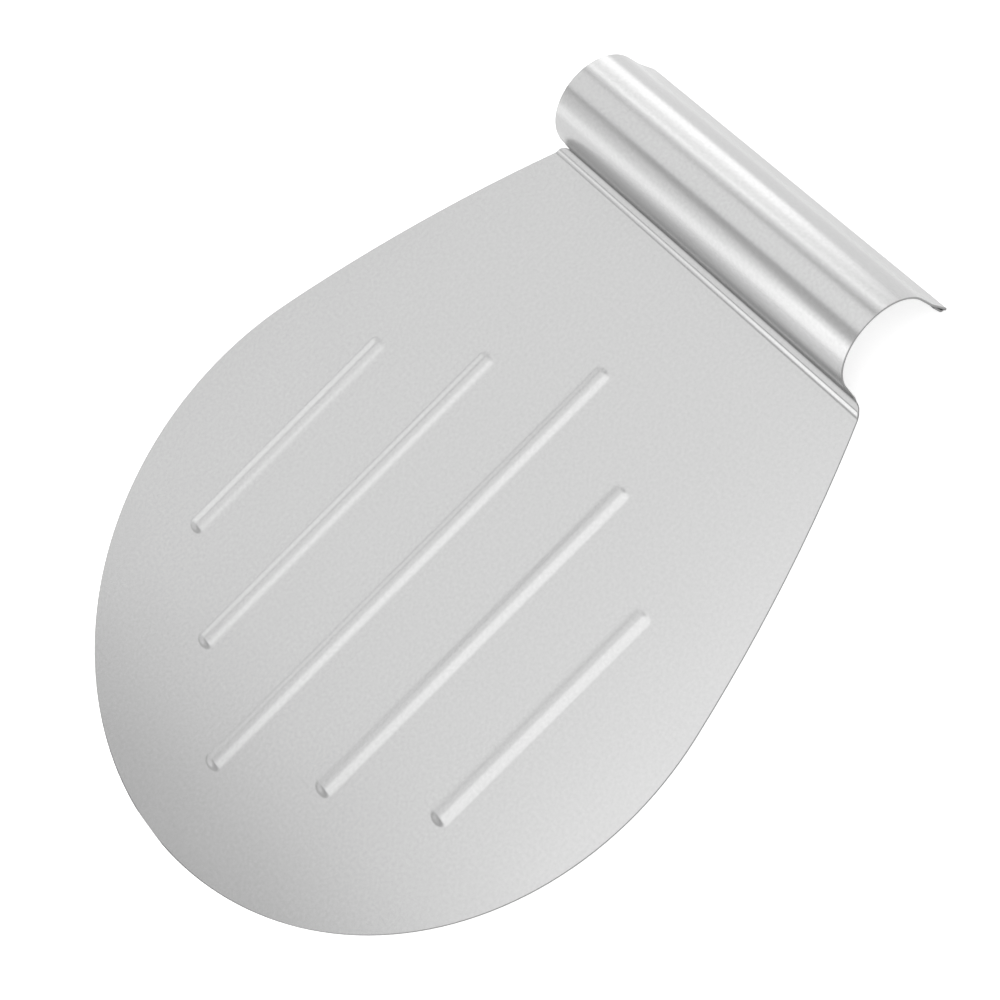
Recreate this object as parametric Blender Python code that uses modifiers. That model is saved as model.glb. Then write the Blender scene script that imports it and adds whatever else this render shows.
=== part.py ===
"""Cake lifter made from one sheet of stainless steel.

The blank is cut flat: a round blade whose sides run in to a neck, and a straight strip beyond it.
Five beads are pressed up into the blade to stiffen it. The strip is then folded: a low step across
the neck, a tight crease, and a rolled arch that the fingers go under. The arch comes back down to
the table and ends in a lip that is hemmed under, so that no raw edge meets the hand.

The blade's far tip points to -Y and the arch stands at +Y. The blade lies on z = 0.
"""
import math

import bmesh
import bpy
import numpy as np

MM = 0.001

# Sheet
SHEET = 0.8 * MM
TIGHT_BEND = 0.8 * MM       # inside radius of the press tool's sharp bends
CREASE_BEND = 0.3 * MM      # and of the crease, which is struck harder

# Blade
BLADE_DIAMETER = 250 * MM
BLADE_REACH = 138 * MM      # from the foot of the step to the middle of the round blade
SIDE_RADIUS = 600 * MM      # the long, nearly straight sides between the round blade and the neck
RIM_STEP = math.radians(2.5)
CORNER_STEP = math.radians(11)      # the turn between neighbouring points of a small corner

# Beads, all centred on the middle of the round blade
BEAD_PITCH = 38.5 * MM
BEAD_WIDTH = 10 * MM
BEAD_HEIGHT = 1.1 * MM
BEAD_FOOT_RADIUS = 1.6 * MM # where the bead leaves the flat of the blade
CENTRE_BEAD = 190 * MM
MIDDLE_BEAD = 142 * MM
OUTER_BEAD = 94 * MM
BEAD_FOOT_ROWS = 3          # facets across the foot's round, and across half the crown
BEAD_CROWN_ROWS = 5
BEAD_END_STEPS = 12         # facets round each bead end

# Step across the neck
STEP_ANGLE = math.radians(40)
STEP_FOOT_RADIUS = 3.0 * MM
STEP_RAMP = 0.2 * MM
STEP_LAND = 2.1 * MM
NECK_SHOULDER = 6.0 * MM    # how far the neck stands out past the handle at each end
SHOULDER_ROUND = 4.5 * MM
SHOULDER_SETBACK = 4.3 * MM # from the crease back to the middle of the shoulder's round
RELIEF_RADIUS = 6.5 * MM    # the hollow that keeps the crease from tearing at its ends

# Handle
HANDLE_WIDTH = 152 * MM
WALL_LEAN = math.radians(8)         # the front wall overhangs the blade
FRONT_WALL = 6.4 * MM
ARCH_RADIUS = 17.8 * MM             # inside the arch, where the fingers go
BACK_SPLAY = math.radians(15)       # the back wall's slope away from upright
BACK_WALL = 6.0 * MM
LIP_FLARE = math.radians(8)
LIP_FLARE_RADIUS = 15 * MM
LIP_CORNER = 0.8 * MM
HEM_GAP = 1.0 * MM                  # air inside the teardrop fold
HEM_END_GAP = 0.4 * MM              # and at the return's free edge
HEM_RETURN = 4.6 * MM
HEM_MITRE = math.radians(8)         # the return's ends are cut back at this angle
FACET = math.radians(4)             # the turn between neighbouring folds of a wide bend
TIGHT_FACET = math.radians(10)      # and of a tight one

STEEL_COLOUR = (0.66, 0.665, 0.665, 1.0)
STEEL_ROUGHNESS = 0.34


def clear_scene():
    for old in list(bpy.data.objects):
        bpy.data.objects.remove(old, do_unlink=True)


def steel():
    material = bpy.data.materials.new("satin_stainless_steel")
    material.use_nodes = True
    shader = material.node_tree.nodes["Principled BSDF"]
    shader.inputs["Base Color"].default_value = STEEL_COLOUR
    shader.inputs["Metallic"].default_value = 1.0
    shader.inputs["Roughness"].default_value = STEEL_ROUGHNESS
    return material


class Section:
    """The sheet's middle line seen from the side, as runs and bends from the foot of the step.

    A distance s along it is a distance on the flat blank. Below s = 0 lies the flat blade.
    """

    def __init__(self):
        self.pieces = []
        self.length = 0.0
        self.y, self.z, self.heading = 0.0, SHEET / 2, 0.0

    def run(self, length):
        self._add(length, 0.0)
        return self

    def bend(self, turn, inside_radius):
        """Turn by an angle, upwards if positive, over a tool of the given radius."""
        self._add(abs(turn) * (inside_radius + SHEET / 2), turn)
        return self

    def _add(self, length, turn):
        piece = (self.length, length, turn, self.y, self.z, self.heading)
        self.pieces.append(piece)
        self.length += length
        self.y, self.z = self._along(piece, length)
        self.heading += turn

    @staticmethod
    def _along(piece, distance):
        _, length, turn, y, z, heading = piece
        if turn == 0.0:
            return y + distance * math.cos(heading), z + distance * math.sin(heading)
        radius = length / turn
        end = heading + distance / radius
        return (y + radius * (math.sin(end) - math.sin(heading)),
                z - radius * (math.cos(end) - math.cos(heading)))

    def point(self, s):
        """Side view position (y, z) of the blank's line at distance s."""
        if s <= 0.0:
            return s, SHEET / 2
        for piece in self.pieces:
            if s <= piece[0] + piece[1]:
                break
        return self._along(piece, min(s - piece[0], piece[1]))

    def folds(self):
        """Distances where the surface turns: both ends of each piece, and steps within a bend."""
        marks = set()
        for start, length, turn, *_ in self.pieces:
            tight = length < abs(turn) * ARCH_RADIUS / 2
            steps = max(1, math.ceil(abs(turn) / (TIGHT_FACET if tight else FACET)))
            marks.update(start + length * i / steps for i in range(steps + 1))
        return marks


def handle_section():
    """Step, crease, front wall, arch, back wall and lip; also where the crease and the lip's fold lie."""
    section = Section()
    section.bend(STEP_ANGLE, STEP_FOOT_RADIUS).run(STEP_RAMP).bend(-STEP_ANGLE, TIGHT_BEND)
    section.run(STEP_LAND)
    crease_start = section.length
    section.bend(math.pi / 2 + WALL_LEAN, CREASE_BEND)
    crease = (crease_start + section.length) / 2
    section.run(FRONT_WALL)
    section.bend(-(math.pi + WALL_LEAN - BACK_SPLAY), ARCH_RADIUS)
    section.run(BACK_WALL)
    section.bend(LIP_FLARE, LIP_FLARE_RADIUS)

    # The last run ends where the hem's rounded nose just touches the table.
    fold_radius = (HEM_GAP + SHEET) / 2
    slope = -section.heading
    fold_start_z = fold_radius + SHEET / 2 + fold_radius * math.cos(slope)
    section.run((section.z - fold_start_z) / math.sin(slope))
    fold_start = section.length
    nose_y = section.y - fold_radius * math.sin(slope) + fold_radius + SHEET / 2
    closing = math.asin((HEM_GAP - HEM_END_GAP) / HEM_RETURN)
    section.bend(-(math.pi + closing), HEM_GAP / 2)
    fold = (fold_start + section.length) / 2
    section.run(HEM_RETURN)
    return section, crease, fold, nose_y


def arc(centre, radius, start, end, step):
    """Points along an arc in the flat blank, both ends included."""
    count = max(1, math.ceil(abs(end - start) / step))
    angles = [start + (end - start) * i / count for i in range(count + 1)]
    return [(centre[0] + radius * math.cos(a), centre[1] + radius * math.sin(a)) for a in angles]


def blank_rim(section, crease, fold):
    """Right-hand rim of the flat blank as (x, s) points, from the far tip to the hem's free edge."""
    radius = BLADE_DIAMETER / 2
    handle = HANDLE_WIDTH / 2
    neck = handle + NECK_SHOULDER

    # A side is one long arc, tangent to the round blade and ending on the neck's corner.
    offset = SIDE_RADIUS - radius
    span = math.hypot(neck, BLADE_REACH)
    lean = math.acos((SIDE_RADIUS ** 2 - span ** 2 - offset ** 2) / (2 * offset * span))
    leave = math.atan2(BLADE_REACH, neck) - lean
    side = (-offset * math.cos(leave), -BLADE_REACH - offset * math.sin(leave))

    # The neck's shoulder is an arc that touches the side; the relief's arc carries it into the handle.
    inner = SIDE_RADIUS - SHOULDER_ROUND
    shoulder_s = crease - SHOULDER_SETBACK
    shoulder = (side[0] + math.sqrt(inner ** 2 - (shoulder_s - side[1]) ** 2), shoulder_s)
    relief_x = handle + RELIEF_RADIUS
    apart = SHOULDER_ROUND + RELIEF_RADIUS
    relief = (relief_x, shoulder_s + math.sqrt(apart ** 2 - (relief_x - shoulder[0]) ** 2))
    touch = math.atan2(shoulder[1] - side[1], shoulder[0] - side[0])
    turn = math.atan2(relief[1] - shoulder[1], relief[0] - shoulder[0])

    rim = arc((0.0, -BLADE_REACH), radius, -math.pi / 2, leave, RIM_STEP)
    rim += arc(side, SIDE_RADIUS, leave, touch, RIM_STEP / 4)[1:]
    rim += arc(shoulder, SHOULDER_ROUND, touch, turn, CORNER_STEP)[1:]
    rim += arc(relief, RELIEF_RADIUS, turn - math.pi, -math.pi, CORNER_STEP)[1:]
    rim += arc((handle - LIP_CORNER, fold - LIP_CORNER), LIP_CORNER, 0.0, math.pi / 2, CORNER_STEP)
    free_edge = section.length
    rim.append((handle - LIP_CORNER - (free_edge - fold) * math.tan(HEM_MITRE), free_edge))
    return rim


def bead_profile():
    """(distance from the bead's middle line, rise) from foot to crown, as two arcs that meet in a tangent."""
    half = BEAD_WIDTH / 2
    slope = 2 * math.atan2(BEAD_HEIGHT, half)
    crown_radius = half / math.sin(slope) - BEAD_FOOT_RADIUS
    profile = []
    for row in range(BEAD_FOOT_ROWS + 1):
        angle = slope * row / BEAD_FOOT_ROWS
        profile.append((half - BEAD_FOOT_RADIUS * math.sin(angle), BEAD_FOOT_RADIUS * (1 - math.cos(angle))))
    for row in range(1, BEAD_CROWN_ROWS + 1):
        angle = slope * (1 - row / BEAD_CROWN_ROWS)
        profile.append((crown_radius * math.sin(angle), BEAD_HEIGHT - crown_radius * (1 - math.cos(angle))))
    return profile


def bead_layout():
    """Place across the blade and length of each bead."""
    lengths = {0: CENTRE_BEAD, 1: MIDDLE_BEAD, 2: OUTER_BEAD}
    return [(row * BEAD_PITCH, lengths[abs(row)]) for row in range(-2, 3)]


def bead_loop(x, length):
    """Foot of a bead in the flat blank: two straight sides joined by half circles."""
    reach = (length - BEAD_WIDTH) / 2
    step = math.pi / BEAD_END_STEPS
    far = arc((x, -BLADE_REACH + reach), BEAD_WIDTH / 2, 0.0, math.pi, step)
    near = arc((x, -BLADE_REACH - reach), BEAD_WIDTH / 2, math.pi, 2 * math.pi, step)
    return far + near


def flat_blade(rim, neck_half_width):
    """Blade as a filled flat curve, with an opening where each bead is pressed."""
    right = [(x, s) for x, s in rim if s < 0] + [(neck_half_width, 0.0)]
    left = [(-x, s) for x, s in reversed(right) if x > MM]
    curve = bpy.data.curves.new("blade_outline", "CURVE")
    curve.dimensions = "2D"
    curve.fill_mode = "BOTH"
    for loop in [right + left] + [bead_loop(x, length) for x, length in bead_layout()]:
        spline = curve.splines.new("POLY")
        spline.points.add(len(loop) - 1)
        for point, (x, s) in zip(spline.points, loop):
            point.co = (x, s, 0.0, 1.0)
        spline.use_cyclic_u = True
    outline = bpy.data.objects.new("blade_outline", curve)
    bpy.context.scene.collection.objects.link(outline)
    evaluated = outline.evaluated_get(bpy.context.evaluated_depsgraph_get())
    mesh = bpy.data.meshes.new_from_object(evaluated)
    mesh.transform(outline.matrix_world)
    bpy.data.objects.remove(outline, do_unlink=True)
    return mesh


def press_bead(bm, x, length):
    """Carry the bead's rising profile round its foot: half turn, straight, half turn, straight."""
    reach = (length - BEAD_WIDTH) / 2
    rising = [bm.verts.new((x + across, -BLADE_REACH + reach, rise)) for across, rise in bead_profile()]
    line = [bm.edges.new(pair) for pair in zip(rising, rising[1:])]
    for end, travel in ((reach, -2 * reach), (-reach, 2 * reach)):
        turned = bmesh.ops.spin(
            bm, geom=line, cent=(x, -BLADE_REACH + end, 0), axis=(0, 0, 1),
            angle=math.pi, steps=BEAD_END_STEPS)
        line = [item for item in turned["geom_last"] if isinstance(item, bmesh.types.BMEdge)]
        drawn = bmesh.ops.extrude_edge_only(bm, edges=line)["geom"]
        moved = [item for item in drawn if isinstance(item, bmesh.types.BMVert)]
        bmesh.ops.translate(bm, verts=moved, vec=(0, travel, 0))
        line = [item for item in drawn if isinstance(item, bmesh.types.BMEdge)
                and all(vert in moved for vert in item.verts)]


def fold_strip(bm, section, rim):
    """Carry the neck's edge along the section, taking its width from the blank's rim."""
    rim_s = np.array([s for _, s in rim])
    rim_x = np.array([x for x, _ in rim])
    stations = sorted(section.folds() | {s for s in rim_s if s > 0})
    stations = [s for s, before in zip(stations[1:], stations) if s - before > MM / 1000]
    neck = [edge for edge in bm.edges if edge.is_boundary
            and all(abs(vert.co.y) < MM / 1000 for vert in edge.verts)]
    for s in stations:
        drawn = bmesh.ops.extrude_edge_only(bm, edges=neck)["geom"]
        y, z = section.point(s)
        half_width = float(np.interp(s, rim_s, rim_x))
        for vert in (item for item in drawn if isinstance(item, bmesh.types.BMVert)):
            vert.co = (math.copysign(half_width, vert.co.x), y, z - SHEET / 2)
        neck = [item for item in drawn if isinstance(item, bmesh.types.BMEdge)
                and all(abs(vert.co.y - y) < MM / 1000 for vert in item.verts)
                and abs(item.verts[0].co.x - item.verts[1].co.x) > half_width]


def lifter_sheet(material):
    """The whole sheet: flat blade, pressed beads and folded strip, thickened from its middle surface."""
    section, crease, fold, nose_y = handle_section()
    rim = blank_rim(section, crease, fold)
    neck_half_width = float(np.interp(0.0, [s for _, s in rim], [x for x, _ in rim]))

    bm = bmesh.new()
    bm.from_mesh(flat_blade(rim, neck_half_width))
    bmesh.ops.remove_doubles(bm, verts=bm.verts, dist=MM / 1000)
    fold_strip(bm, section, rim)
    for x, length in bead_layout():
        press_bead(bm, x, length)
    bmesh.ops.remove_doubles(bm, verts=bm.verts, dist=MM / 1000)
    bmesh.ops.recalc_face_normals(bm, faces=bm.faces)

    # The origin is under the middle of the whole lifter, on the table.
    far_tip = -BLADE_REACH - BLADE_DIAMETER / 2
    bmesh.ops.translate(bm, verts=bm.verts, vec=(0, -(far_tip + nose_y) / 2, SHEET / 2))

    mesh = bpy.data.meshes.new("lifter_sheet")
    bm.to_mesh(mesh)
    bm.free()
    mesh.materials.append(material)
    mesh.shade_smooth()
    sheet = bpy.data.objects.new("lifter_sheet", mesh)
    thickness = sheet.modifiers.new("sheet_thickness", "SOLIDIFY")
    thickness.thickness = SHEET
    thickness.offset = 0.0
    thickness.use_even_offset = True
    return sheet


def main():
    clear_scene()
    collection = bpy.data.collections.new("cake_lifter")
    bpy.context.scene.collection.children.link(collection)
    collection.objects.link(lifter_sheet(steel()))


main()
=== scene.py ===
import math

import bpy
import numpy as np
from mathutils import Matrix, Vector


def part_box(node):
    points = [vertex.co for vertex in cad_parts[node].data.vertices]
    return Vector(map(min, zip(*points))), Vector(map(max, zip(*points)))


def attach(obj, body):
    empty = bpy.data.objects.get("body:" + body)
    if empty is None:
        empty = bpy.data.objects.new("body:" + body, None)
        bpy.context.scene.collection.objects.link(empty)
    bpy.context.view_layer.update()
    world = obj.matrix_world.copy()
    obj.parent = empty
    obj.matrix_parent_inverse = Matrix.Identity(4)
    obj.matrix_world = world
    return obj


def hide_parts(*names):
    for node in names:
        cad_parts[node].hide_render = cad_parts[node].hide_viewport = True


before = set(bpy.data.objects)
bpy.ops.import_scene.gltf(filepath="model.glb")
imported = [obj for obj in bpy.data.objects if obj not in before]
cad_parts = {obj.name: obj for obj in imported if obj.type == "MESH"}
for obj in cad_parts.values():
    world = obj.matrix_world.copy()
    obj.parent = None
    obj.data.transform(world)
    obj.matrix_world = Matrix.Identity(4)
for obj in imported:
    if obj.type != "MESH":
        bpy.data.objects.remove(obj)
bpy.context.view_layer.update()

# The sheet
# A cake lifter is one blank of stainless sheet, 0.8 mm thick. Its blade is left flat, five beads are
# pressed up into it, and the strip beyond the neck is folded: a low step, a tight crease, a rolled arch
# for the fingers and a hemmed lip. The rim is cut, then tumbled round so that it doesn't cut the hand.
MM = 0.001
SHEET = 0.8 * MM
EDGE_ROUND = 0.22 * MM          # how far the tumbled rim bulges out of the flat

BLADE_RADIUS = 125 * MM
BLADE_REACH = 138 * MM          # from the foot of the step to the middle of the round blade
SIDE_RADIUS = 600 * MM

BEAD_PITCH = 38.5 * MM
BEAD_WIDTH = 9 * MM
BEAD_HEIGHT = 0.45 * MM
BEAD_END = 3.0 * MM             # length over which a bead falls to the blade at its ends
BEAD_LENGTHS = (97 * MM, 144 * MM, 192 * MM, 144 * MM, 97 * MM)

HANDLE_HALF = 76 * MM
NECK_SHOULDER = 6.0 * MM
SHOULDER_ROUND = 4.5 * MM
SHOULDER_SETBACK = 4.7 * MM
RELIEF_RADIUS = 1.5 * MM
LIP_CORNER = 0.8 * MM
HEM_GAP = 0.8 * MM
HEM_END_GAP = 0.4 * MM
HEM_RETURN = 3.6 * MM
HEM_MITRE = math.radians(8)

STEP_FOOT_BEND = 3.0 * MM       # inside radii of the bends, from the step to the lip
STEP_BEND = 0.9 * MM
CREASE_BEND = 0.3 * MM
ARCH_RADIUS = 17.8 * MM
LIP_FLARE_RADIUS = 15 * MM
STEP_RAMP = 0.2 * MM            # flat runs between the bends
STEP_LAND = 1.664 * MM
FRONT_WALL = 8.01 * MM
BACK_WALL = 6.0 * MM

STEP_ANGLE = math.radians(40)
LAND_RISE = math.radians(11)
WALL_LEAN = math.radians(2)
BACK_SPLAY = math.radians(15)
LIP_FLARE = math.radians(8)
CREASE_TURN = math.pi / 2 + WALL_LEAN - LAND_RISE
HEM_CLOSING = math.asin((HEM_GAP - HEM_END_GAP) / HEM_RETURN)

# Runs and bends of the sheet's middle line in side view, from the foot of the step: (length, turn).
FOLDS = [
    ((STEP_FOOT_BEND + SHEET / 2) * STEP_ANGLE, STEP_ANGLE),
    (STEP_RAMP, 0.0),
    ((STEP_BEND + SHEET / 2) * (STEP_ANGLE - LAND_RISE), LAND_RISE - STEP_ANGLE),
    (STEP_LAND, 0.0),
    ((CREASE_BEND + SHEET / 2) * CREASE_TURN, CREASE_TURN),
    (FRONT_WALL, 0.0),
    ((ARCH_RADIUS + SHEET / 2) * (math.pi + WALL_LEAN - BACK_SPLAY), BACK_SPLAY - WALL_LEAN - math.pi),
    (BACK_WALL, 0.0),
    ((LIP_FLARE_RADIUS + SHEET / 2) * LIP_FLARE, LIP_FLARE),
]
CREASE_FOLD = 4                 # the crease's place in FOLDS


def chain(folds):
    """Start of every fold as (distance, y, z, heading): each is an arc, and its chord is the arc's
    length times sin(q/2)/(q/2) for a turn q, laid at the mean heading."""
    length, turn = np.array(folds).T
    distance = np.concatenate(([0.0], np.cumsum(length)))
    heading = np.concatenate(([0.0], np.cumsum(turn)))
    chord = length * np.sinc(turn / (2 * np.pi))
    mean = heading[:-1] + turn / 2
    y = np.concatenate(([0.0], np.cumsum(chord * np.cos(mean))))
    z = SHEET / 2 + np.concatenate(([0.0], np.cumsum(chord * np.sin(mean))))
    return distance, y, z, heading


# The last run ends where the hem's round nose touches the table.
flare_end = chain(FOLDS)
slope = -flare_end[3][-1]
hem_radius = (HEM_GAP + SHEET) / 2
drop = flare_end[2][-1] - (hem_radius * (1 + math.cos(slope)) + SHEET / 2)
FOLDS += [
    (drop / math.sin(slope), 0.0),
    (hem_radius * (math.pi + HEM_CLOSING), -math.pi - HEM_CLOSING),
    (HEM_RETURN, 0.0),
]
fold_start, fold_y, fold_z, fold_heading = chain(FOLDS)
fold_length, fold_turn = np.array(FOLDS).T
CREASE = (fold_start[CREASE_FOLD] + fold_start[CREASE_FOLD + 1]) / 2
HEM_FOLD = (fold_start[-3] + fold_start[-2]) / 2
FREE_EDGE = fold_start[-1]


def folded(s):
    """Middle line (y, z) and heading at distance s on the blank; below s = 0 it is flat."""
    k = np.clip(np.searchsorted(fold_start, s, side="right") - 1, 0, len(FOLDS) - 1)
    along = np.maximum(s, 0.0) - fold_start[k]
    turned = fold_turn[k] * along / fold_length[k]
    chord = along * np.sinc(turned / (2 * np.pi))
    mean = fold_heading[k] + turned / 2
    y = fold_y[k] + chord * np.cos(mean) + np.minimum(s, 0.0)
    return y, fold_z[k] + chord * np.sin(mean), fold_heading[k] + turned


def arc(centre, radius, start, end, step):
    """Points centre + radius (cos a, sin a) for angles a from start to end."""
    a = np.linspace(start, end, max(2, math.ceil(abs(end - start) / step) + 1))
    return np.stack([centre[0] + radius * np.cos(a), centre[1] + radius * np.sin(a)], axis=1)


SIDE_STEP = math.radians(1)     # mesh steps round the rim's arcs
BLADE_STEP = math.radians(2)
NECK_STEP = math.radians(7)
LIP_STEP = math.radians(15)


def blank_rim():
    """Right-hand rim of the flat blank as (x, s): round blade, long side, shoulder, relief, lip corner."""
    neck = HANDLE_HALF + NECK_SHOULDER
    offset = SIDE_RADIUS - BLADE_RADIUS
    span = math.hypot(neck, BLADE_REACH)
    lean = math.acos((SIDE_RADIUS ** 2 - span ** 2 - offset ** 2) / (2 * offset * span))
    leave = math.atan2(BLADE_REACH, neck) - lean
    side = np.array([-offset * math.cos(leave), -BLADE_REACH - offset * math.sin(leave)])

    inner = SIDE_RADIUS - SHOULDER_ROUND
    shoulder_s = CREASE - SHOULDER_SETBACK
    shoulder = np.array([side[0] + math.sqrt(inner ** 2 - (shoulder_s - side[1]) ** 2), shoulder_s])
    relief_x = HANDLE_HALF + RELIEF_RADIUS
    apart = SHOULDER_ROUND + RELIEF_RADIUS
    relief = np.array([relief_x, shoulder_s + math.sqrt(apart ** 2 - (relief_x - shoulder[0]) ** 2)])
    touch = math.atan2(*(shoulder - side)[::-1])
    turn = math.atan2(*(relief - shoulder)[::-1])

    tip = math.radians(2)       # the first row is this far round from the far tip, 0.1 mm short of it
    mitred = HANDLE_HALF - LIP_CORNER - (FREE_EDGE - HEM_FOLD) * math.tan(HEM_MITRE)
    return np.concatenate([
        arc((0.0, -BLADE_REACH), BLADE_RADIUS, tip - math.pi / 2, leave, BLADE_STEP),
        arc(side, SIDE_RADIUS, leave, touch, SIDE_STEP)[1:],
        arc(shoulder, SHOULDER_ROUND, touch, turn, NECK_STEP)[1:],
        arc(relief, RELIEF_RADIUS, turn - math.pi, -math.pi, NECK_STEP)[1:],
        arc((HANDLE_HALF - LIP_CORNER, HEM_FOLD - LIP_CORNER), LIP_CORNER, 0.0, math.pi / 2, LIP_STEP),
        [[mitred, FREE_EDGE]],
    ])


bead_half = BEAD_WIDTH / 2
bead_steps = np.append(np.linspace(0, 1, 11), 1.25)      # mesh lines beside a bead, in half widths


def bead_rise(x, s):
    """Height of the pressed beads and its slopes in x and s. With d the distance to a bead's middle line,
    over half the bead's width to each side and over the end's length past the middle line's ends, the
    height is h/2 (1 + cos(pi d)) for d below 1 and nothing beyond."""
    rise, rise_x, rise_s = np.zeros_like(x), np.zeros_like(x), np.zeros_like(x)
    for row, length in enumerate(BEAD_LENGTHS):
        across = x - (row - 2) * BEAD_PITCH
        along = s + BLADE_REACH
        past = np.sign(along) * np.maximum(np.abs(along) - (length / 2 - BEAD_END), 0.0)
        away = np.maximum(np.hypot(across / bead_half, past / BEAD_END), 1e-6)     # never 0, it divides
        phase = np.pi * np.minimum(away, 1.0)
        rise += BEAD_HEIGHT / 2 * (1 + np.cos(phase))
        fall = BEAD_HEIGHT / 2 * np.pi * np.sin(phase) / away
        rise_x -= fall * across / bead_half ** 2
        rise_s -= fall * past / BEAD_END ** 2
    return rise, rise_x, rise_s


def merged(values, least):
    """Sorted values with any that follow the last kept one by less than the least step left out."""
    values = np.sort(np.concatenate(values))
    kept = np.concatenate(([True], np.diff(values) > least))
    return values[kept]


BEND_STEP = math.radians(4)
LEAST_ROW = 0.04 * MM           # rows and columns nearer than these are merged
LEAST_COLUMN = 0.02 * MM


def sheet_rows(rim):
    """Distances s of the grid's rows: the rim's own points, fine steps in bends and round bead ends."""
    bends = [np.linspace(a, a + length, max(2, math.ceil(abs(turn) / BEND_STEP) + 1))
             for a, length, turn in zip(fold_start, fold_length, fold_turn)]
    ends = [-BLADE_REACH + side * (length / 2 + (bead_steps - 1) * BEAD_END)
            for length in BEAD_LENGTHS[:3] for side in (-1, 1)]
    blade = np.linspace(-BLADE_REACH - 40 * MM, -2 * MM, 18)
    return merged([rim[:, 1], *bends, *ends, blade], LEAST_ROW)


def sheet_columns():
    """Column coordinates across the blank: fine across each bead, coarse between, one close to the rim."""
    beads = [row * BEAD_PITCH + side * bead_half * bead_steps for row in range(-2, 3) for side in (-1, 1)]
    between = bead_half * bead_steps[-1]
    gaps = [row * BEAD_PITCH + np.linspace(between, BEAD_PITCH - between, 5) for row in range(-2, 2)]
    outer = np.append(np.linspace(2 * BEAD_PITCH + between, BLADE_RADIUS - SHEET, 8), BLADE_RADIUS)
    return merged([*beads, *gaps, outer, -outer], LEAST_COLUMN)


def spread(columns, s, half_width):
    """Column c keeps x = c inside a zone that holds the beads met at distance s; outside the zone the
    columns are squeezed evenly so that the last one lies on the rim."""
    clear, ease = 2 * MM, 10 * MM       # past a bead's end before the zone narrows, and while it does
    reach = np.array(BEAD_LENGTHS[:3]) / 2 + clear
    holds = np.array([2, 1, 0]) * BEAD_PITCH + bead_half * bead_steps[-1]
    zone = np.interp(np.abs(s + BLADE_REACH), [reach[0], reach[0] + ease, reach[1], reach[1] + ease],
                     [holds[0], holds[1], holds[1], holds[2]])
    widest = 0.75                       # of the half width, so the squeezed columns keep some room
    zone = np.minimum(zone, widest * half_width)[:, None]
    size = np.abs(columns)[None, :]
    squeezed = zone + (size - zone) / (BLADE_RADIUS - zone) * (half_width[:, None] - zone)
    return np.sign(columns) * np.where(size <= zone, size, squeezed)


def unit(v):
    """Vectors over their own lengths."""
    return v / np.linalg.norm(v, axis=-1, keepdims=True)


def sheet_surface():
    """The closed sheet. Its middle surface is (x, folded(s)) raised by the beads along the sheet's normal;
    the two faces lie half a thickness to each side, and half an ellipse joins them round the rim."""
    rim = blank_rim()
    s = sheet_rows(rim)
    x = spread(sheet_columns(), s, np.interp(s, rim[:, 1], rim[:, 0]))
    y, z, heading = (v[:, None] for v in folded(s))
    s = np.broadcast_to(s[:, None], x.shape)
    rise, rise_x, rise_s = bead_rise(x, s)
    cos, sin = np.cos(heading), np.sin(heading)
    middle = np.stack([x, y - rise * sin, z + rise * cos], axis=-1)
    normal = unit(np.stack([-rise_x, -sin - rise_s * cos, cos - rise_s * sin], axis=-1))

    rows, columns = x.shape
    grid = np.arange(rows * columns).reshape(rows, columns)
    loop = np.concatenate([grid[0, :-1], grid[:-1, -1], grid[-1, :0:-1], grid[:0:-1, 0]])
    middle, normal = middle.reshape(-1, 3), normal.reshape(-1, 3)
    tangent = middle[np.roll(loop, -1)] - middle[np.roll(loop, 1)]
    outward = unit(np.cross(tangent, normal[loop]))
    middle[loop] -= EDGE_ROUND * outward

    half = SHEET / 2
    angles = np.radians([60, 30, 0, -30, -60])
    rings, ring_normals = [], []
    for a in angles:
        rings.append(middle[loop] + outward * EDGE_ROUND * math.cos(a) + normal[loop] * half * math.sin(a))
        ring_normals.append(unit(outward * math.cos(a) / EDGE_ROUND + normal[loop] * math.sin(a) / half))
    points = np.concatenate([middle + normal * half, middle - normal * half, *rings])
    normals = np.concatenate([normal, -normal, *ring_normals])
    blank = np.stack([x.ravel(), s.ravel()], axis=1)
    blank = np.concatenate([blank, blank, *[blank[loop]] * len(angles)])
    cut = np.zeros(len(points))
    cut[2 * rows * columns:] = 1.0

    top = np.stack([grid[:-1, :-1], grid[:-1, 1:], grid[1:, 1:], grid[1:, :-1]], axis=-1).reshape(-1, 4)
    under = top[:, ::-1] + rows * columns
    ring = [loop] + [2 * rows * columns + k * len(loop) + np.arange(len(loop)) for k in range(len(angles))]
    ring.append(loop + rows * columns)
    wall = [np.stack([a, b, np.roll(b, -1), np.roll(a, -1)], axis=-1) for a, b in zip(ring, ring[1:])]
    return points, normals, np.concatenate([top, under, *wall]), blank, cut


def linear(colour):
    """sRGB hex such as "c8c9cb" as linear red, green, blue and alpha 1."""
    value = np.array([int(colour[i:i + 2], 16) for i in (0, 2, 4)]) / 255
    value = np.where(value <= 0.04045, value / 12.92, ((value + 0.055) / 1.055) ** 2.4)
    return (*value.tolist(), 1.0)


def node(tree, kind, settings=None, **inputs):
    """Add a node, set its properties, and set or link its inputs by name (underscores for spaces)."""
    added = tree.nodes.new(kind)
    for name, value in (settings or {}).items():
        setattr(added, name, value)
    for name, value in inputs.items():
        socket = added.inputs[int(name[1:]) if name[0] == "_" else name.replace("_", " ")]
        if isinstance(value, bpy.types.NodeSocket):
            tree.links.new(value, socket)
        else:
            socket.default_value = value
    return added


def ramp(tree, value, start, end, first, last):
    """Smooth change from first to last while value goes from start to end."""
    return node(tree, "ShaderNodeMapRange", {"interpolation_type": "SMOOTHSTEP"}, Value=value,
                From_Min=start, From_Max=end, To_Min=first, To_Max=last).outputs["Result"]


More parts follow.
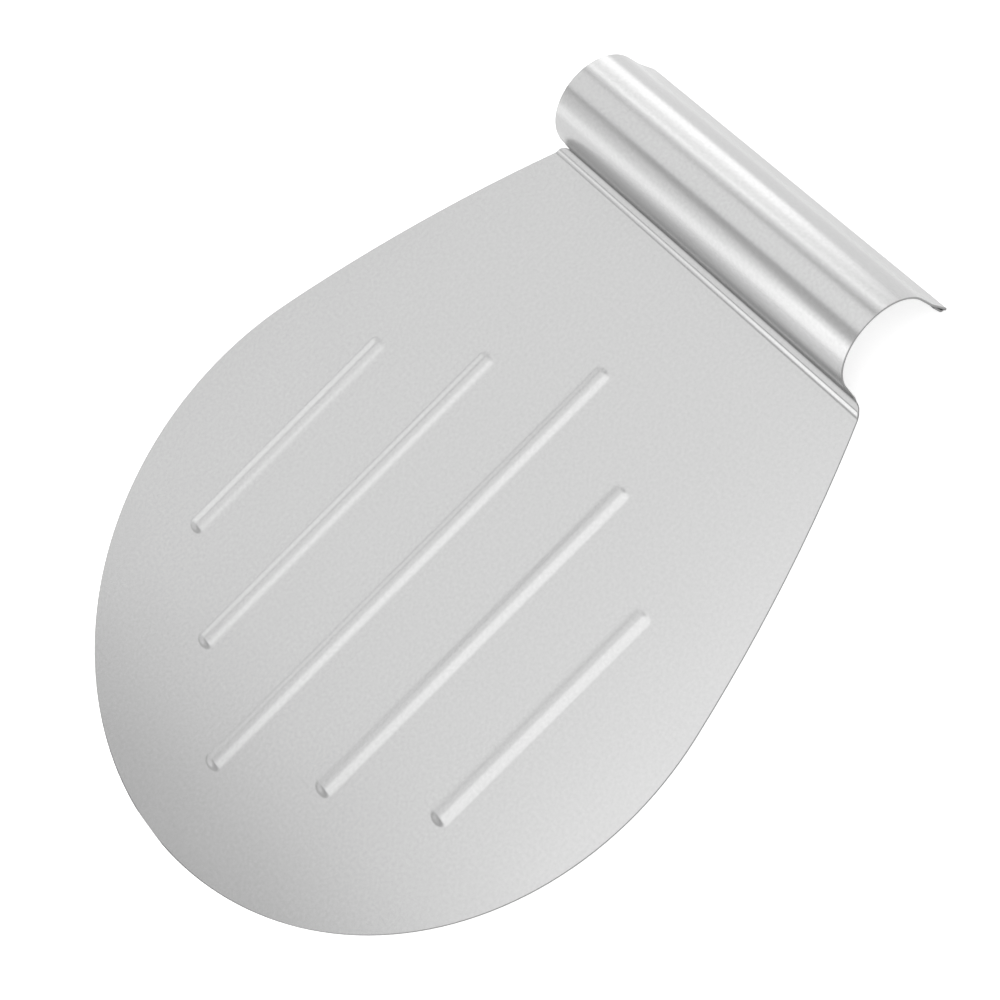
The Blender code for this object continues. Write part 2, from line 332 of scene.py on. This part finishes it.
GRAIN_SIZE = 1.3 * MM
CLOUD_SIZE = 30 * MM
SMOOTHEST = 0.21                # roughness of the faces, and what the cut edge adds to it
DULLEST = 0.235
CUT_ADDS = 0.25
CREASE_SHADE_START = -1.2 * MM          # the painted crease shade along the sheet, measured from the middle of the crease
CREASE_SHADE_FULL = 0.3 * MM
CREASE_SHADE_FADE = 8.5 * MM
CREASE_SHADE_END = 12.5 * MM


def satin_stainless():
    """18/10 stainless sheet, cold rolled and lightly bead blasted. The blast leaves a fine even grain
    that softens reflections the same way in every direction; the tumbled rim is a little rougher."""
    material = bpy.data.materials.new("satin_stainless_steel")
    material.use_nodes = True
    tree = material.node_tree
    tree.nodes.clear()
    blank = node(tree, "ShaderNodeUVMap", {"uv_map": "blank"}).outputs["UV"]
    cut_edge = node(tree, "ShaderNodeAttribute", {"attribute_name": "cut_edge"}).outputs["Fac"]

    # The blast's craters are far too fine to show at this distance, so they are drawn 0.3 to 1.3 mm across.
    grain = node(tree, "ShaderNodeTexNoise", {"noise_dimensions": "2D"},
                 Vector=blank, Scale=1 / GRAIN_SIZE, Detail=2.0, Roughness=0.7).outputs["Fac"]
    # Rolling and wiping leave cloudy patches, about 30 mm across, that are slightly duller.
    cloud = node(tree, "ShaderNodeTexNoise", {"noise_dimensions": "2D"},
                 Vector=blank, Scale=1 / CLOUD_SIZE, Detail=3.0, Roughness=0.5).outputs["Fac"]
    clouded = node(tree, "ShaderNodeMapRange", None, Value=cloud, From_Min=0.3, From_Max=0.7,
                   To_Min=SMOOTHEST, To_Max=DULLEST).outputs["Result"]
    roughness = node(tree, "ShaderNodeMath", {"operation": "MULTIPLY_ADD"},
                     _0=cut_edge, _1=CUT_ADDS, _2=clouded).outputs["Value"]
    blasted = node(tree, "ShaderNodeMix", {"data_type": "RGBA"}, _0=grain, _6=linear("bfbfbf"),
                   _7=linear("cbcbcb")).outputs[2]
    # Painted shade: the crease and the lower front wall are coloured darker, which stands in for the shade
    # that falls into the crease.
    along = node(tree, "ShaderNodeSeparateXYZ", None, Vector=blank).outputs["Y"]
    before = ramp(tree, along, CREASE + CREASE_SHADE_START, CREASE + CREASE_SHADE_FULL, 0.0, 1.0)
    after = ramp(tree, along, CREASE + CREASE_SHADE_FADE, CREASE + CREASE_SHADE_END, 1.0, 0.0)
    painted_crease_shade = node(tree, "ShaderNodeMath", {"operation": "MULTIPLY"}, _0=before, _1=after).outputs["Value"]
    # Painted shade: along the crease the face colour is mixed towards dark grey 707070.
    face = node(tree, "ShaderNodeMix", {"data_type": "RGBA"}, _0=painted_crease_shade, _6=blasted,
                _7=linear("707070")).outputs[2]
    # The cut edge is coloured darker than the faces, so the rim shows as a thin dark line.
    colour = node(tree, "ShaderNodeMix", {"data_type": "RGBA"}, _0=cut_edge, _6=face,
                  _7=linear("a4a4a4")).outputs[2]
    bump = node(tree, "ShaderNodeBump", None, Strength=0.1, Distance=0.002 * MM, Height=grain)
    shader = node(tree, "ShaderNodeBsdfPrincipled", None, Base_Color=colour, Metallic=1.0,
                  Roughness=roughness, Normal=bump.outputs["Normal"])
    node(tree, "ShaderNodeOutputMaterial", None, Surface=shader.outputs["BSDF"])
    return material


points, normals, faces, blank, cut = sheet_surface()
# The lip's nose stands at the CAD solid's highest y, which places the whole sheet.
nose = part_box("lifter_sheet")[1].y
points[:, 1] += nose - points[:, 1].max()
mesh = bpy.data.meshes.new("rolled_sheet")
mesh.from_pydata(points, [], faces)
corner_vertex = np.zeros(len(mesh.loops), np.int32)
mesh.loops.foreach_get("vertex_index", corner_vertex)
mesh.uv_layers.new(name="blank").uv.foreach_set("vector", blank[corner_vertex].astype(np.float32).ravel())
mesh.attributes.new("cut_edge", "FLOAT", "POINT").data.foreach_set("value", cut.astype(np.float32))
mesh.shade_smooth()
mesh.normals_split_custom_set_from_vertices(normals)
mesh.materials.append(satin_stainless())
rolled_sheet = bpy.data.objects.new("rolled_sheet", mesh)
bpy.context.scene.collection.objects.link(rolled_sheet)
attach(rolled_sheet, "root")
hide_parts("lifter_sheet")

# The table
# A plain white studio table, matt, wide enough that its edge is out of every view. It is lit white and
# keeps the lifter's soft shadow.
TABLE_SIZE = 12.0
CAMERA_GLOW = 0.7               # the table's own light, as the camera and as reflections see it
REFLECTED_GLOW = 0.28


def studio_white():
    """Matt white laminate, with a little light of its own for the camera and for reflections, so that it
    reads as plain white without more light on the lifter."""
    material = bpy.data.materials.new("studio_white")
    material.use_nodes = True
    tree = material.node_tree
    tree.nodes.clear()
    path = node(tree, "ShaderNodeLightPath").outputs
    reflected = node(tree, "ShaderNodeMath", {"operation": "MAXIMUM"},
                     _0=path["Is Glossy Ray"], _1=path["Is Transmission Ray"]).outputs["Value"]
    reflected = node(tree, "ShaderNodeMath", {"operation": "MULTIPLY"},
                     _0=reflected, _1=REFLECTED_GLOW).outputs["Value"]
    glow = node(tree, "ShaderNodeMath", {"operation": "MULTIPLY_ADD"},
                _0=path["Is Camera Ray"], _1=CAMERA_GLOW, _2=reflected).outputs["Value"]
    lit = node(tree, "ShaderNodeBsdfDiffuse", None, Color=linear("f2f2f2")).outputs["BSDF"]
    own = node(tree, "ShaderNodeEmission", None, Color=linear("ffffff"), Strength=glow).outputs["Emission"]
    both = node(tree, "ShaderNodeAddShader", None, _0=lit, _1=own).outputs["Shader"]
    node(tree, "ShaderNodeOutputMaterial", None, Surface=both)
    return material


table_mesh = bpy.data.meshes.new("studio_table")
edge = TABLE_SIZE / 2
table_mesh.from_pydata([(-edge, -edge, 0), (edge, -edge, 0), (edge, edge, 0), (-edge, edge, 0)], [],
                       [(0, 1, 2, 3)])
table_mesh.materials.append(studio_white())
studio_table = bpy.data.objects.new("studio_table", table_mesh)
bpy.context.scene.collection.objects.link(studio_table)

# The light
# A white sweep closes the horizon and a grey ceiling lies over it. Nine soft boxes hang overhead and stand
# on the left, behind the lip and past the blade's tip. The arch shows them as bright bands with dark gaps.
SWEEP_TOP = math.radians(14)
SWEEP_FADE = math.radians(24)
CEILING = 0.5
BOX_DISTANCE = 1.5
ARCH_MIDDLE = Vector((0, 0.10, 0.01))

world = bpy.data.worlds.new("studio")
bpy.context.scene.world = world
world.use_nodes = True
tree = world.node_tree
tree.nodes.clear()
direction = node(tree, "ShaderNodeTexCoord").outputs["Generated"]
height = node(tree, "ShaderNodeSeparateXYZ", None, Vector=direction).outputs["Z"]
around = ramp(tree, height, math.sin(SWEEP_TOP), math.sin(SWEEP_FADE), 1.0, CEILING)
seen = node(tree, "ShaderNodeLightPath").outputs["Is Camera Ray"]
strength = node(tree, "ShaderNodeMath", {"operation": "MAXIMUM"}, _0=around, _1=seen).outputs["Value"]
backdrop = node(tree, "ShaderNodeBackground", None, Color=linear("ffffff"), Strength=strength)
node(tree, "ShaderNodeOutputWorld", None, Surface=backdrop.outputs["Background"])


def soft_box(name, azimuth, elevation, width, height, radiance):
    """A rectangle that faces the arch from a direction in degrees; its watts are radiance x pi x area."""
    turn, rise = math.radians(azimuth), math.radians(elevation)
    data = bpy.data.lights.new(name, "AREA")
    data.shape = "RECTANGLE"
    data.size, data.size_y = width, height
    data.energy = radiance * math.pi * width * height
    lamp = bpy.data.objects.new(name, data)
    away = Vector((math.cos(rise) * math.cos(turn), math.cos(rise) * math.sin(turn), math.sin(rise)))
    facing = away.to_track_quat("Z", "Y").to_matrix().to_4x4()
    lamp.matrix_world = Matrix.Translation(ARCH_MIDDLE + away * BOX_DISTANCE) @ facing
    lamp.visible_camera = False
    bpy.context.scene.collection.objects.link(lamp)


soft_box("overhead_box", 180, 84, 1.2, 2.6, 0.65)
soft_box("overhead_right_box", 0, 86, 1.2, 1.5, 0.38)
soft_box("left_box", 170, 34, 1.44, 0.32, 0.57)
soft_box("left_low_box", 210, 20, 1.63, 1.09, 0.42)
soft_box("back_box", 130, 20, 0.6, 1.09, 0.91)
soft_box("back_high_box", 125, 43, 1.02, 0.37, 0.59)
soft_box("front_box", 250, 15, 0.61, 0.8, 0.73)
soft_box("front_high_box", 245, 30, 0.5, 0.5, 0.48)
soft_box("front_top_box", 245, 38, 1.0, 0.8, 0.16)

# The camera
# It stands to the right of the lifter, high up, and is turned about its own axis, so that the blade runs
# from the lower left to the arch at the upper right.
CAMERA_PLACE = Vector((0.438964, 0.036679, 0.65455))
CAMERA_AIM = Vector((0.006375, 0.009314, 0.0))
CAMERA_ROLL = math.radians(-47.99)
CAMERA_LENS = 83.753

camera_data = bpy.data.cameras.new("camera")
camera_data.lens = CAMERA_LENS
camera_data.sensor_width = 36.0
camera = bpy.data.objects.new("camera", camera_data)
level = (CAMERA_PLACE - CAMERA_AIM).to_track_quat("Z", "Y").to_matrix()
turned = level @ Matrix.Rotation(CAMERA_ROLL, 3, "Z")
camera.matrix_world = Matrix.Translation(CAMERA_PLACE) @ turned.to_4x4()
bpy.context.scene.collection.objects.link(camera)
bpy.context.scene.camera = camera
bpy.context.scene.view_settings.view_transform = "Standard"
